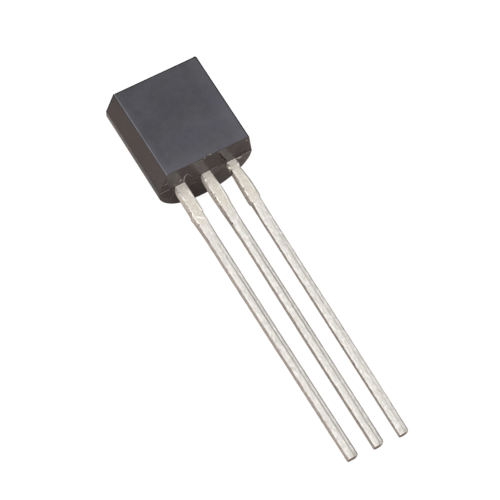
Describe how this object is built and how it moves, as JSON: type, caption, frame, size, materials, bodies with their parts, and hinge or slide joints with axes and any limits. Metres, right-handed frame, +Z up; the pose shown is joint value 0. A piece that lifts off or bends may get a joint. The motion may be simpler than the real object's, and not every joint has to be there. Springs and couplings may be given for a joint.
{
  "type": "to-92 transistor",
  "caption": "Small transistor in a dark moulded case with a flat face and a round back, on long tinned leads in a row.",
  "frame": {"origin": "on the surface that the part lies on, under the middle of its outline", "axes": "+Z up, out of the flat face apart from the small tilt of the rest; +Y from the lead tips to the top of the case; +X across the leads"},
  "size_m": [0.0046, 0.019, 0.0038],
  "materials": {
    "epoxy": "matte",
    "tinned_metal": "satin",
    "silicon": "polished",
    "attach": "matte",
    "gold": "gloss"
  },
  "bodies": {
    "root": {"moulded_case": "epoxy", "emitter_lead": "tinned_metal", "collector_lead": "tinned_metal", "base_lead": "tinned_metal", "transistor_die": "silicon", "die_attach": "attach", "emitter_bond_wire": "gold", "base_bond_wire": "gold"}
  },
  "joints": []
}
